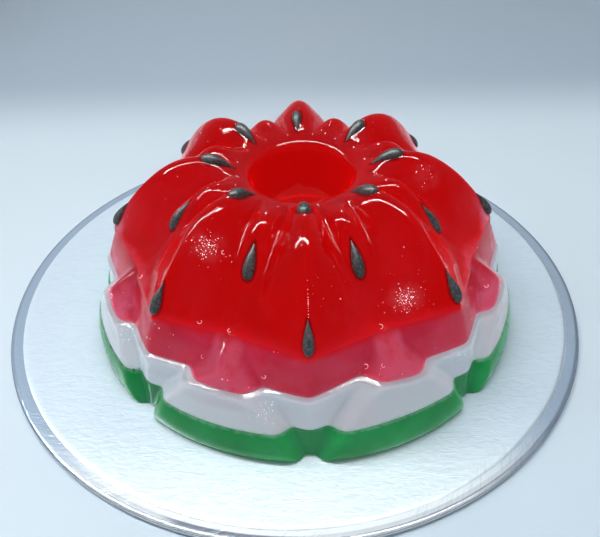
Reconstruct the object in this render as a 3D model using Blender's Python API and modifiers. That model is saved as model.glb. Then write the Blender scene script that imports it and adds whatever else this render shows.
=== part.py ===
# Ring-moulded layered jelly with teardrop seeds, on its round foil-covered cake board.
# Metres, +Z up, origin under the middle of the board. Sizes below are in millimetres.
# The mould repeats every 45 degrees: eight sharp crests, and half way between them eight
# small rounded ridges, each above a pointed panel that stands out from the lower wall.

import bpy
import bmesh
from math import asin, cos, exp, hypot, pi, radians, sin
from mathutils import Matrix

MM = 0.001
GAP = 0.3

# Cake board and the foil sheet that is let into its top
BOARD_RADIUS = 150.0
BOARD_THICKNESS = 3.0
SHEET_RADIUS = 142.0
SHEET_THICKNESS = 0.4
RECESS_DEPTH = 0.3
BOARD_SIDES = 64

# The jelly on the board
JELLY_X = 5.4
JELLY_Y = -6.0
JELLY_TURN = radians(0.5)
CREST_COUNT = 8
HALF_SECTOR = pi / CREST_COUNT
LAYER_TOPS = {"jelly_green": 16.0, "jelly_white": 32.0, "jelly_pink": 50.0}

# Where one pour rose higher than level: (layer, azimuth in degrees, half width, rise)
POUR_BUMPS = (
    ("jelly_green", 22.0, 16.0, 1.2),
    ("jelly_white", 15.0, 11.0, 3.2),
    ("jelly_white", -150.0, 20.0, 1.5),
)

# Lower wall, each as (height, size): the crest line, how far the scooped face between two
# crests lies inside the straight line, the outer face of the panels, and the half width
# of a panel's pointed arch at the radius where its tip starts
CREST_LOW = ((0, 104.0), (8, 103.7), (16, 103.2), (24, 102.0), (32, 100.4), (41, 97.4), (50, 93.7))
SCOOP = ((0, 0.0), (32, 0.0), (41, 0.7), (50, 2.6))
PANEL_FACE = ((0, 107.0), (6, 107.8), (12, 106.8), (16, 105.4), (24, 102.8), (32, 100.2), (41, 98.4))
PANEL_ARCH = ((0, 49.2), (8, 45.8), (16, 41.0), (24, 32.6), (32, 22.1), (41, 9.0), (46, 4.6), (51, 0.0))
ARCH_RADIUS = 80.0
ARCH_DRAFT = 0.5

# Domed upper part in matching stations, from the wall up over the top and in to the hole:
# (radius, height) on a crest and on a small ridge, and (radius, height, azimuth in
# degrees from the crest) at the bottom of the groove between them
CREST = (
    (93.7, 50), (91.8, 54), (89.5, 58), (86.2, 62.8), (82.2, 67.8), (77.3, 73.2), (72.2, 77.8),
    (66.2, 82.3), (59.5, 85.8), (52.5, 87.6), (46, 87.9), (40, 86.6), (35, 85), (31.5, 83.7),
    (28.5, 82.4), (25.8, 81.2),
)
RIDGE = (
    (84, 50), (78, 53), (72, 56.5), (67.5, 60.5), (64.3, 65), (61.5, 70), (58.5, 73.8),
    (54.5, 77.6), (50.5, 81.3), (46.5, 83.3), (42.3, 83.6), (38.5, 83), (35.2, 82.3), (32, 82),
    (29, 81.8), (25.8, 81.2),
)
GROOVE = (
    (85.6, 50, 15), (80.5, 53, 15.5), (75.5, 56.5, 16), (71, 60.5, 16.5), (67, 64.5, 16.5),
    (63, 68, 16), (59, 70.8, 15.5), (55, 73, 15), (50.5, 75, 14.3), (46, 76.8, 13.5),
    (42, 78.3, 12.6), (38.5, 79.6, 12), (35.3, 80.8, 11.5), (32, 81.6, 11.25),
    (29, 81.8, 11.25), (25.8, 81.2, 11.25),
)
CREST_ROUNDING = 3.1
RIDGE_ROUNDING = 1.7

# Hole through the middle, wider at the top
RIM = ((24.9, 79.8), (24.5, 77.0))
HOLE_BOTTOM_RADIUS = 18.0

# Seeds, each lying along a crest or a small ridge with its tip towards the hole:
# (name, profile, first azimuth in degrees, radius of the tip, length), then how far out
# and by how many degrees single seeds lie off their regular place
SEED_RINGS = (
    ("seed_inner", CREST, 0.0, 30.4, 16.6),
    ("seed_middle", RIDGE, 22.5, 54.5, 18.2),
    ("seed_outer", CREST, 0.0, 85.6, 14.8),
)
SEED_SHIFTS = {
    "seed_inner_1": (0.6, 0.0),
    "seed_inner_2": (-0.6, 0.0),
    "seed_inner_3": (1.6, 0.0),
    "seed_inner_5": (0.0, 2.2),
    "seed_inner_7": (1.0, 0.0),
    "seed_inner_8": (-0.6, 0.0),
    "seed_middle_1": (0.0, -1.8),
    "seed_middle_2": (3.2, 0.0),
    "seed_middle_7": (0.0, -1.8),
    "seed_outer_2": (-1.0, 0.0),
}
SEED_HALF_WIDTH = 3.1
SEED_HALF_HEIGHT = 2.9
SEED_SINK = 0.3
SEED_SIDES = 8
SEED_BANDS = 6

COLOURS = {
    "board": ((0.72, 0.76, 0.80), 0.18, 0.9),
    "board_sheet": ((0.86, 0.89, 0.92), 0.35, 0.6),
    "jelly_green": ((0.02, 0.28, 0.05), 0.12, 0.0),
    "jelly_white": ((0.62, 0.66, 0.68), 0.15, 0.0),
    "jelly_pink": ((0.52, 0.04, 0.08), 0.12, 0.0),
    "jelly_red": ((0.50, 0.002, 0.004), 0.08, 0.0),
    "seed": ((0.035, 0.04, 0.04), 0.35, 0.0),
}


def clear_scene():
    for old in list(bpy.data.objects):
        bpy.data.objects.remove(old, do_unlink=True)


def new_collection(name):
    group = bpy.data.collections.new(name)
    bpy.context.scene.collection.children.link(group)
    return group


def material(name):
    colour, roughness, metallic = COLOURS[name]
    made = bpy.data.materials.get(name) or bpy.data.materials.new(name)
    made.use_nodes = True
    shader = made.node_tree.nodes["Principled BSDF"]
    shader.inputs["Base Color"].default_value = (*colour, 1.0)
    shader.inputs["Roughness"].default_value = roughness
    shader.inputs["Metallic"].default_value = metallic
    return made


def add_object(name, mesh, group, finish):
    obj = bpy.data.objects.new(name, mesh)
    group.objects.link(obj)
    mesh.materials.append(material(finish))
    mesh.shade_smooth()
    mesh.set_sharp_from_angle(angle=radians(35))
    return obj


def read_off(table, height):
    """Size at a height, on straight lines between the rows of a (height, size) table."""
    below = table[0]
    for above in table[1:]:
        if height <= above[0]:
            share = (height - below[0]) / (above[0] - below[0])
            return below[1] + (above[1] - below[1]) * share
        below = above
    return below[1]


def at(radius, azimuth, height):
    """Point round the middle of the board; azimuth 0 faces -Y and grows towards +X."""
    return (radius * sin(azimuth) * MM, -radius * cos(azimuth) * MM, height * MM)


def turned(name, profile, group, finish):
    """Solid of revolution from a (radius, height) profile that runs from top to bottom."""
    mesh = bpy.data.meshes.new(name)
    points = [(r * MM, 0.0, z * MM) for r, z in profile]
    edges = [(i, i + 1) for i in range(len(points) - 1)]
    mesh.from_pydata(points, edges, [])
    obj = add_object(name, mesh, group, finish)
    screw = obj.modifiers.new("turn", 'SCREW')
    screw.steps = BOARD_SIDES
    screw.render_steps = BOARD_SIDES
    screw.use_merge_vertices = True
    screw.merge_threshold = 0.0001
    return obj


def make_board(group):
    top = BOARD_THICKNESS
    recess = top - RECESS_DEPTH
    recess_radius = SHEET_RADIUS + GAP
    edge = BOARD_RADIUS
    profile = [
        (0, recess), (recess_radius, recess), (recess_radius, top), (edge - 1.3, top),
        (edge - 0.35, top - 0.4), (edge, top - 1.1), (edge, 0.9), (edge - 0.9, 0), (0, 0),
    ]
    turned("board", profile, group, "board")
    under = recess + GAP
    over = under + SHEET_THICKNESS
    turned("board_sheet", [(0, over), (SHEET_RADIUS, over), (SHEET_RADIUS, under), (0, under)],
           group, "board_sheet")
    return over + GAP


def pour_rise(layer, azimuth):
    """How far a layer's top lies above level at this azimuth."""
    rise = 0.0
    for name, middle, width, height in POUR_BUMPS:
        if name == layer:
            away = (azimuth - radians(middle) + pi) % (2 * pi) - pi
            rise += height * exp(-(away / radians(width)) ** 2)
    return rise


def hole_radius(height):
    top_radius, top_height = RIM[-1]
    return HOLE_BOTTOM_RADIUS + (top_radius - HOLE_BOTTOM_RADIUS) * height / top_height


def face_radius(height, phi):
    """Wall between two crests: straight in plan, with a slight scoop in its middle."""
    crest = read_off(CREST_LOW, height)
    middle = crest * cos(HALF_SECTOR) - read_off(SCOOP, height)
    return crest * middle * sin(HALF_SECTOR) / (middle * sin(HALF_SECTOR - phi) + crest * sin(phi))


def arch_reach(height):
    return read_off(PANEL_ARCH, height) + ARCH_DRAFT * ARCH_RADIUS


def side_radius(height, psi):
    """Sloping side of a panel's arch, psi being the angle from the panel's middle."""
    return arch_reach(height) / (sin(psi) + ARCH_DRAFT)


def wall_radius(height, phi):
    psi = HALF_SECTOR - phi
    panel = min(read_off(PANEL_FACE, height), side_radius(height, psi))
    return max(face_radius(height, phi), panel)


def wall_column(height, column):
    """Angle from the crest of one of the six columns: crest, foot and edge of the panel's
    side, two on the panel, and the panel's middle."""
    edge = asin(max(0.0, arch_reach(height) / read_off(PANEL_FACE, height) - ARCH_DRAFT))
    low, high = edge, HALF_SECTOR
    for _ in range(24):
        foot = (low + high) / 2
        if side_radius(height, foot) > face_radius(height, HALF_SECTOR - foot):
            low = foot
        else:
            high = foot
    edge = max(edge, radians(4.2))
    foot = max(foot, edge + radians(0.9))
    return HALF_SECTOR - (HALF_SECTOR, foot, edge, edge * 0.66, edge * 0.33, 0.0)[column]


def around(point_at):
    """One ring of points: point_at(azimuth of the crest, side, column) on both sides of
    each crest, where side is 1 or -1 and the columns run 0 to 5."""
    ring = []
    for sector in range(CREST_COUNT):
        crest = sector * 2 * HALF_SECTOR + JELLY_TURN
        ring += [point_at(crest, 1, column) for column in range(5)]
        ring += [point_at(crest + 2 * HALF_SECTOR, -1, column) for column in range(5, 0, -1)]
    return ring


def wall_ring(lower, upper, share):
    """Ring on the outer wall, part of the way from one layer boundary to the next."""
    def point(crest, side, column):
        height = lower(crest) + (upper(crest) - lower(crest)) * share
        for _ in range(2):
            azimuth = crest + side * wall_column(height, column)
            height = lower(azimuth) + (upper(azimuth) - lower(azimuth)) * share
        phi = abs(azimuth - crest)
        return at(wall_radius(height, phi), azimuth, height)
    return around(point)


def hole_ring(boundary):
    """Ring on the wall of the hole; it keeps the azimuths of the outer wall's rings."""
    def point(crest, side, column):
        azimuth = crest + side * HALF_SECTOR * column / 5
        height = boundary(azimuth)
        return at(hole_radius(height), azimuth, height)
    return around(point)


def loft(name, rings, base, group, finish):
    """Closed ring-shaped solid through rings of equally many points."""
    bm = bmesh.new()
    rows = [[bm.verts.new(p) for p in ring] for ring in rings]
    count = len(rows[0])
    for row, following in zip(rows, rows[1:] + rows[:1]):
        for i in range(count):
            j = (i + 1) % count
            bm.faces.new((row[i], row[j], following[j], following[i]))
    bmesh.ops.triangulate(bm, faces=bm.faces[:])
    bmesh.ops.recalc_face_normals(bm, faces=bm.faces[:])
    bmesh.ops.translate(bm, verts=bm.verts[:], vec=(JELLY_X * MM, JELLY_Y * MM, base * MM))
    mesh = bpy.data.meshes.new(name)
    bm.to_mesh(mesh)
    bm.free()
    return add_object(name, mesh, group, finish)


def boundary(layer, offset):
    """Height of a layer's top at an azimuth, moved up or down by offset."""
    return lambda azimuth: LAYER_TOPS[layer] + pour_rise(layer, azimuth) + offset


def make_lower_layers(base, group):
    lower = lambda azimuth: 0.0
    for layer, rows in (("jelly_green", 4), ("jelly_white", 4), ("jelly_pink", 5)):
        upper = boundary(layer, -GAP / 2)
        rings = [wall_ring(lower, upper, i / rows) for i in range(rows + 1)]
        rings += [hole_ring(upper), hole_ring(lower)]
        loft(layer, rings, base, group, layer)
        lower = boundary(layer, GAP / 2)
    return lower


def slope_normal(profile, station):
    """Unit (radius, height) direction out of the surface at a station of a profile."""
    before = profile[max(station - 1, 0)]
    after = profile[min(station + 1, len(profile) - 1)]
    along = (after[0] - before[0], after[1] - before[1])
    size = hypot(*along)
    return along[1] / size, -along[0] / size


def fade(station, start, full, end):
    """0 up to start, 1 at full, back to 0 at end."""
    if station <= full:
        return max(0.0, (station - start) / (full - start))
    return max(0.0, (end - station) / (end - full))


def mixed(a, b, share, lift, normal):
    """Point on the straight line between two (radius, height, azimuth) points, lifted
    along a (radius, height) normal."""
    x = a[0] * sin(a[2]) * (1 - share) + b[0] * sin(b[2]) * share
    y = a[0] * cos(a[2]) * (1 - share) + b[0] * cos(b[2]) * share
    height = a[1] * (1 - share) + b[1] * share
    radius = hypot(x, y)
    return radius + lift * normal[0], height + lift * normal[1], asin(x / radius)


def dome_point(station, column):
    """(radius, height, angle from the crest) in one half of a sector of the dome."""
    crest = (*CREST[station], 0.0)
    ridge = (*RIDGE[station], HALF_SECTOR)
    groove = (GROOVE[station][0], GROOVE[station][1], radians(GROOVE[station][2]))
    crest_lift = CREST_ROUNDING * fade(station, 4, 9.5, 12.5)
    ridge_lift = RIDGE_ROUNDING * fade(station, 2, 9, 14)
    crest_normal = slope_normal(CREST, station)
    ridge_normal = slope_normal(RIDGE, station)
    return (
        crest,
        mixed(crest, groove, 0.3, crest_lift, crest_normal),
        mixed(crest, groove, 0.62, 0.6 * crest_lift, crest_normal),
        groove,
        mixed(groove, ridge, 0.45, ridge_lift, ridge_normal),
        ridge,
    )[column]


def make_red_layer(base, lower, group):
    def station_ring(station):
        def point(crest, side, column):
            radius, height, phi = dome_point(station, column)
            height += GAP / 2 if station == 0 else 0.0
            return at(radius, crest + side * phi, height)
        return around(point)

    def rim_ring(radius, height):
        return around(lambda crest, side, column:
                      at(radius, crest + side * HALF_SECTOR * column / 5, height))

    rings = [station_ring(station) for station in range(len(CREST))]
    rings += [rim_ring(radius, height) for radius, height in RIM]
    rings.append(hole_ring(lower))
    return loft("jelly_red", rings, base, group, "jelly_red")


def along_profile(profile, start_radius, distance):
    """Point on a profile at a distance outwards from where its radius is start_radius."""
    points = list(reversed(profile))
    walked = None
    for near, far in zip(points, points[1:]):
        span = hypot(far[0] - near[0], far[1] - near[1])
        if walked is None:
            if far[0] < start_radius:
                continue
            walked = -span * (start_radius - near[0]) / (far[0] - near[0])
        if walked + span >= distance or far == points[-1]:
            share = (distance - walked) / span
            return near[0] + (far[0] - near[0]) * share, near[1] + (far[1] - near[1]) * share
        walked += span


def seed_mesh(name, profile, tip_radius, length, grow):
    """Teardrop bent along a profile: a sphere whose long axis follows the profile."""
    bm = bmesh.new()
    bmesh.ops.create_uvsphere(bm, u_segments=SEED_SIDES, v_segments=SEED_BANDS, radius=1.0,
                              matrix=Matrix.Rotation(pi / 2, 4, 'Y'))
    for vert in bm.verts:
        x, side, up = vert.co
        x = max(-1.0, min(1.0, x))
        distance = length / 2 + (length / 2 + grow) * x
        taper = 1.42 * ((1 + x) / 2) ** 0.75
        before = along_profile(profile, tip_radius, distance - 2.0)
        behind = along_profile(profile, tip_radius, distance + 2.0)
        radius = (before[0] + behind[0]) / 2
        height = (before[1] + behind[1]) / 2
        size = hypot(behind[0] - before[0], behind[1] - before[1])
        normal = ((before[1] - behind[1]) / size, (behind[0] - before[0]) / size)
        lift = up * taper * (SEED_HALF_HEIGHT + grow) - SEED_SINK
        across = side * taper * (SEED_HALF_WIDTH + grow)
        vert.co = (across * MM, -(radius + lift * normal[0]) * MM, (height + lift * normal[1]) * MM)
    bmesh.ops.recalc_face_normals(bm, faces=bm.faces[:])
    mesh = bpy.data.meshes.new(name)
    bm.to_mesh(mesh)
    bm.free()
    return mesh


def make_seeds(base, red, group, cutters):
    """Eight seeds in each ring, each in its own socket in the red layer."""
    centre = Matrix.Translation((JELLY_X * MM, JELLY_Y * MM, base * MM))
    for ring, profile, first, tip_radius, length in SEED_RINGS:
        for i in range(CREST_COUNT):
            name = f"{ring}_{i + 1}"
            outwards, degrees = SEED_SHIFTS.get(name, (0.0, 0.0))
            azimuth = radians(first + degrees) + i * 2 * HALF_SECTOR + JELLY_TURN
            place = centre @ Matrix.Rotation(azimuth, 4, 'Z')
            seed = seed_mesh(name, profile, tip_radius + outwards, length, 0.0)
            add_object(name, seed, group, "seed").matrix_world = place
            socket = seed_mesh(name + "_socket", profile, tip_radius + outwards, length, GAP)
            cutter = bpy.data.objects.new(socket.name, socket)
            cutters.objects.link(cutter)
            cutter.matrix_world = place
            cutter.hide_render = True
            cutter.display_type = 'WIRE'
    cut = red.modifiers.new("sockets", 'BOOLEAN')
    cut.operation = 'DIFFERENCE'
    cut.operand_type = 'COLLECTION'
    cut.collection = cutters


def main():
    clear_scene()
    parts = new_collection("moulded_jelly")
    cutters = new_collection("cutters")
    base = make_board(parts)
    top_of_pink = make_lower_layers(base, parts)
    red = make_red_layer(base, top_of_pink, parts)
    make_seeds(base, red, parts, cutters)


main()
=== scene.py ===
# Layered moulded jelly with seeds on its foil cake board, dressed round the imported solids.
# Sizes in the dictionaries are millimetres and degrees unless a note says otherwise.
from math import asin, cos, hypot, pi, radians, sin

import bmesh
import bpy
from mathutils import Matrix, Vector


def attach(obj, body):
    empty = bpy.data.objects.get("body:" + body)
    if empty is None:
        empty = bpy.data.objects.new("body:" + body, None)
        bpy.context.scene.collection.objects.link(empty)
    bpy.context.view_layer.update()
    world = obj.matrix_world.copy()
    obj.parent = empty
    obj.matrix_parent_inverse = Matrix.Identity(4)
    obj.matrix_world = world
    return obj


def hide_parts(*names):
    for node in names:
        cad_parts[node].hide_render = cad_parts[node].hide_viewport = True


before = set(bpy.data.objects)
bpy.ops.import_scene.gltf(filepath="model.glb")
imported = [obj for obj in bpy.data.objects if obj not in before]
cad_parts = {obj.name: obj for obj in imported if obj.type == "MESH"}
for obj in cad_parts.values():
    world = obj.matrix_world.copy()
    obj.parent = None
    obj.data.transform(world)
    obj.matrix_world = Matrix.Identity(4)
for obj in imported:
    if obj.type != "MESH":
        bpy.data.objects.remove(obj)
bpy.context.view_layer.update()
mm = 0.001
print("frame loaded:", len(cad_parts), "solids")


def operator(operation):
    # an operator on knots as a Math node, and its reflected form
    return (lambda self, other: self.desk.math(operation, self, other),
            lambda self, other: self.desk.math(operation, other, self))


class Knot:
    # one output socket; arithmetic on it adds Math nodes
    def __init__(self, desk, socket):
        self.desk = desk
        self.socket = socket

    __add__, __radd__ = operator("ADD")
    __sub__, __rsub__ = operator("SUBTRACT")
    __mul__, __rmul__ = operator("MULTIPLY")
    __truediv__, __rtruediv__ = operator("DIVIDE")
    __pow__, __rpow__ = operator("POWER")


class Desk:
    # builds the nodes of one tree, whether of geometry or of a material
    def __init__(self, tree):
        self.tree = tree

    def put(self, kind, settings=None, feeds=None, out=0):
        node = self.tree.nodes.new(kind)
        for name, value in (settings or {}).items():
            if name == "points":  # a curve's (x, y) points, both from 0 to 1
                line = node.mapping.curves[0]
                for x, y in value[1:-1]:
                    line.points.new(x, y)
                line.points[0].location = value[0]
                line.points[-1].location = value[-1]
                node.mapping.update()
            else:
                setattr(node, name, value)
        for place, value in (feeds or {}).items():
            if isinstance(value, Knot):
                self.tree.links.new(value.socket, node.inputs[place])
            else:
                node.inputs[place].default_value = value
        if isinstance(out, tuple):
            return [Knot(self, node.outputs[i]) for i in out]
        return Knot(self, node.outputs[out]) if len(node.outputs) else node

    def math(self, operation, *values):
        return self.put("ShaderNodeMath", {"operation": operation}, dict(enumerate(values)))

    def blend(self, share, low, high):
        return low + (high - low) * share

    def ramp(self, value, start, end, kind="LINEAR"):  # 0 up to start, 1 from end
        return self.put("ShaderNodeMapRange", {"interpolation_type": kind},
                        {0: value, 1: start, 2: end})

    def smooth(self, value, start, end):  # a ramp that is eased at both ends
        return self.ramp(value, start, end, "SMOOTHSTEP")

    def band(self, value, rise, fall):  # 1 between two eased edges
        return self.smooth(value, *rise) * self.smooth(value, *fall)

    def table(self, value, rows, span, reach):
        # reads (x, y) rows as a smooth curve, x from 0 to span and y from 0 to reach
        points = [(x / span, y / reach) for x, y in rows]
        return self.put("ShaderNodeFloatCurve", {"points": points}, {1: value / span}) * reach

    def vector(self, x=0.0, y=0.0, z=0.0):
        return self.put("ShaderNodeCombineXYZ", {}, {0: x, 1: y, 2: z})

    def split(self, vector):
        return self.put("ShaderNodeSeparateXYZ", {}, {0: vector}, out=(0, 1, 2))

    def stretch(self, vector, factors):
        return self.put("ShaderNodeVectorMath", {"operation": "MULTIPLY"}, {0: vector, 1: factors})

    def dim(self, colour, share):
        return self.put("ShaderNodeVectorMath", {"operation": "SCALE"}, {0: colour, 3: share})

    def awayFrom(self, spot):
        settings = {"operation": "DISTANCE"}
        return self.put("ShaderNodeVectorMath", settings, {0: self.here(), 1: spot}, out=1)

    def here(self):  # the point's own place, in metres
        if self.tree.type == "GEOMETRY":
            return self.put("GeometryNodeInputPosition")
        return self.put("ShaderNodeTexCoord", out=3)

    def read(self, label):  # a value noted on the points
        if self.tree.type == "GEOMETRY":
            kind = "GeometryNodeInputNamedAttribute"
            return self.put(kind, {"data_type": "FLOAT"}, {"Name": label})
        return self.put("ShaderNodeAttribute", {"attribute_name": label}, out=2)

    def noise(self, scale, detail=2.0, rough=0.5, place=None, twist=0.0):
        return self.put("ShaderNodeTexNoise", {}, {
            "Vector": place or self.here(), "Scale": scale, "Detail": detail, "Roughness": rough,
            "Distortion": twist})

    def note(self, geometry, values):
        # stores each value on the points under its name, for the materials and later nodes
        for label, value in values.items():
            geometry = self.put(
                "GeometryNodeStoreNamedAttribute", {"data_type": "FLOAT", "domain": "POINT"},
                {0: geometry, "Name": label, "Value": value})
        return geometry

    def move(self, geometry, place):
        return self.put("GeometryNodeSetPosition", {}, {0: geometry, 2: place})

    def lift(self, geometry, height):
        return self.put("GeometryNodeSetPosition", {}, {0: geometry, 3: self.vector(z=height)})

    def weld(self, geometry):
        return self.put("GeometryNodeMergeByDistance", {}, {0: geometry, "Distance": 0.00001})

    def chance(self, seed):
        return self.put("FunctionNodeRandomValue", {"data_type": "FLOAT"}, {8: seed}, out=1)

    def upright(self, direction):
        return self.put("FunctionNodeAlignRotationToVector", {"axis": "Z"}, {"Vector": direction})

    def polar(self, radius, azimuth, height):
        # a place round the jelly's middle; azimuth 0 faces -Y and grows towards +X
        x = radius * self.math("SINE", azimuth) + mould["x"]
        y = mould["y"] - radius * self.math("COSINE", azimuth)
        return self.vector(x * mm, y * mm, (height + mould["base"]) * mm)

    def uneven(self, radius, azimuth, height, amount):
        place = self.polar(radius, azimuth, height)
        rough = self.noise(mould["unevenScale"], 1.0, place=place)
        return radius + (rough - 0.5) * amount


def show(name, data):
    piece = bpy.data.objects.new(name, data)
    bpy.context.scene.collection.objects.link(piece)
    return piece


def plainMesh(name, points, edges=(), faces=()):
    mesh = bpy.data.meshes.new(name)
    mesh.from_pydata(points, edges, faces)
    return mesh


def newTree(name, sizes, build, finish):
    # a geometry tree whose named inputs are the entries of sizes; build adds its nodes
    tree = bpy.data.node_groups.new(name, "GeometryNodeTree")
    tree.interface.new_socket("Geometry", in_out="INPUT", socket_type="NodeSocketGeometry")
    kinds = {int: "NodeSocketInt", float: "NodeSocketFloat"}
    for label, value in sizes.items():
        kind = kinds.get(type(value), "NodeSocketObject")
        socket = tree.interface.new_socket(label, in_out="INPUT", socket_type=kind)
        if type(value) in kinds:
            socket.default_value = value
    tree.interface.new_socket("Geometry", in_out="OUTPUT", socket_type="NodeSocketGeometry")
    desk = Desk(tree)
    source = tree.nodes.new("NodeGroupInput")
    given = {socket.name: Knot(desk, socket) for socket in source.outputs if socket.name}
    whole = desk.put("GeometryNodeRealizeInstances", {}, {0: build(desk, given)})
    dressed = desk.put("GeometryNodeSetMaterial", {}, {0: whole, "Material": finish})
    desk.put("NodeGroupOutput", {}, {0: dressed})
    return tree


def grow(name, build, sizes, finish, start=None, sharp=60):
    # runs a geometry tree on the mesh in start and keeps the result as a plain, closed mesh
    piece = show(name, start or bpy.data.meshes.new(name))
    maker = piece.modifiers.new("maker", "NODES")
    maker.node_group = newTree(name, sizes, build, finish)
    for item in maker.node_group.interface.items_tree:
        if item.in_out == "INPUT" and item.name in sizes:
            maker[item.identifier] = sizes[item.name]
    bpy.context.view_layer.update()
    depsgraph = bpy.context.evaluated_depsgraph_get()
    plain = bpy.data.meshes.new_from_object(piece.evaluated_get(depsgraph), depsgraph=depsgraph)
    piece.modifiers.remove(maker)
    piece.data = plain
    plain.name = name
    bm = bmesh.new()
    bm.from_mesh(plain)
    bmesh.ops.remove_doubles(bm, verts=bm.verts[:], dist=0.000004)
    bmesh.ops.dissolve_degenerate(bm, edges=bm.edges[:], dist=0.000001)
    bmesh.ops.recalc_face_normals(bm, faces=bm.faces[:])
    bm.to_mesh(plain)
    bm.free()
    plain.shade_smooth()
    plain.set_sharp_from_angle(angle=radians(sharp))
    print("made", name, len(plain.polygons), "faces")
    return piece


def hand(piece, slot, *nodes):
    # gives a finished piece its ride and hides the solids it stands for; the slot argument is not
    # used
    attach(piece, "root")
    if nodes:
        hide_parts(*nodes)


mould = {
    "x": 5.4, "y": -6.0, "base": 3.7,  # middle and underside of the jelly on the board
    "turn": 0.5,
    "lobes": 8,
    "crest": ((0, 104.0), (8, 103.7), (16, 103.2), (24, 102.0), (32, 100.4), (41, 97.4),
              (50, 93.7)),
    "scoop": ((0, 0.0), (32, 0.0), (41, 0.7), (50, 2.6)),
    "panel": ((0, 107.0), (6, 107.8), (12, 106.8), (16, 105.4), (24, 102.8), (32, 100.2),
              (41, 98.4)),
    "panelTop": (50, 97.0),
    "arch": ((0, 49.2), (8, 45.8), (16, 41.0), (24, 33.4), (32, 24.2), (41, 13.0), (46, 7.6),
             (51, 1.6)),
    "archTop": (50, 2.4),  # in the dressed wall
    "archRadius": 80.0,
    "draft": 0.5,
    "leastEdge": 3.0, "leastFoot": 0.9,  # widths left for a panel's face and for its side
    "holeBottom": 18.0, "holeTop": (24.5, 77.0),
    "top": 50.0,  # where the straight wall ends and the dome starts
    "unevenScale": 45.0,
}
half = pi / mould["lobes"]
turnStart = radians(mould["turn"])

pours = {  # level of each layer's top, and where it set higher: (azimuth, half width, rise)
    "jelly_green": (16.0, ((22.0, 16.0, 1.2),)),
    "jelly_white": (32.0, ((15.0, 11.0, 3.2), (-150.0, 20.0, 1.5))),
    "jelly_pink": (50.0, ()),
}
layers = {  # shoulder and tuck: how far the top and bottom edge roll in, each over its own height
    "jelly_green": {"Shoulder": 0.7, "Shoulder Height": 1.1, "Tuck": 0.8, "Tuck Height": 1.0},
    "jelly_white": {"Shoulder": 2.3, "Shoulder Height": 0.95, "Tuck": 0.3, "Tuck Height": 1.0,
                    "Bulge": 1.1, "Ledge": 1.0},
    "jelly_pink": {"Shoulder": 0.05, "Shoulder Height": 0.5, "Tuck": 1.5, "Tuck Height": 2.8},
}
wallSizes = {"Columns": 48, "Rows": 30, "Softness": 3.0, "Top Softness": 15.0,
             "Unevenness": 0.35, "Bulge": 0.0, "Ledge": 0.0}
wall = {
    "crowding": 0.85,  # of the rows towards both edges
    "footAt": 0.4, "edgeAt": 0.62,  # shares of the columns up to an arch's foot and its edge
    "crestEase": 0.025, "easeHeights": (50.0, 46.0),  # rounds the crest, but not under the dome
    "archEase": 0.0005,  # rounds the top of an arch
    "faceSoftness": 0.6,
    "waverScale": 2.5, "ledgePower": 1.12, "bulgeDepths": (8.0, 1.5),
}


def between(rows, x):
    # straight-line reading of a table
    before = rows[0]
    for after in rows[1:]:
        if x <= after[0]:
            return before[1] + (after[1] - before[1]) * (x - before[0]) / (after[0] - before[0])
        before = after
    return before[1]


def archAngles(height):
    # angles from the crest where a panel's side rises from the wall and meets its face
    reach = between(mould["arch"], height) + mould["draft"] * mould["archRadius"]
    crest = between(mould["crest"], height)
    middle = crest * cos(half) - between(mould["scoop"], height)
    edge = asin(max(0.0, reach / between(mould["panel"], height) - mould["draft"]))
    low, high = edge, half
    for _ in range(30):  # halves the gap until side and face meet
        foot = (low + high) / 2
        phi = half - foot
        face = crest * middle * sin(half) / (middle * sin(half - phi) + crest * sin(phi))
        if reach / (sin(foot) + mould["draft"]) > face:
            low = foot
        else:
            high = foot
    edge = max(edge, radians(mould["leastEdge"]))
    return half - max(foot, edge + radians(mould["leastFoot"])), half - edge


archRows = [(mould["top"] * i / 24, archAngles(mould["top"] * i / 24)) for i in range(25)]


def boundaryHeight(desk, layer, azimuth):
    # height of a layer's top edge there; with no layer, 0 for the underside of the lowest one
    if layer is None:
        return azimuth * 0.0
    level, rises = pours[layer]
    rise = 0.0
    for middle, width, height in rises:
        away = desk.math("WRAP", azimuth - radians(middle), pi, -pi) / radians(width)
        rise = desk.math("EXPONENT", 0.0 - away * away) * height + rise
    return rise + level


def holeRadius(height):
    wide, high = mould["holeTop"]
    return height * ((wide - mould["holeBottom"]) / high) + mould["holeBottom"]


def farSide(desk, azimuth):
    # 1 on the lobes beyond the two crests at 45 degrees, 0 on the two that face the front
    return desk.smooth(desk.math("COSINE", azimuth), 0.72, 0.52)


def roll(desk, distance, depth, reach):
    # quarter round: depth at the edge itself, nothing from reach away
    near = desk.math("MAXIMUM", 1 - distance / reach, 0.0)
    return (1 - desk.math("SQRT", desk.math("MAXIMUM", 1 - near * near, 0.0))) * depth


def lobeGrid(desk, given, spare):
    # a grid laid round the jelly, with spare rows after the counted ones; gives with it each
    # point's crest, its side of that crest, its column as 0 to 1 and its row
    rows, halves = given["Rows"], 2 * mould["lobes"]
    grid = desk.put("GeometryNodeMeshGrid", {}, {
        "Vertices X": given["Columns"] * halves + 1, "Vertices Y": rows + (spare + 1)})
    u, v, _ = desk.split(desk.here())
    turn = (u + 0.5) * mould["lobes"]
    sector = desk.math("FLOOR", turn + 0.5)
    side = desk.math("SIGN", turn - sector)
    column = desk.math("ABSOLUTE", turn - sector) * 2
    step = desk.math("ROUND", (v + 0.5) * (rows + spare))
    return grid, sector * (2 * half) + turnStart, side, column, step


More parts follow.
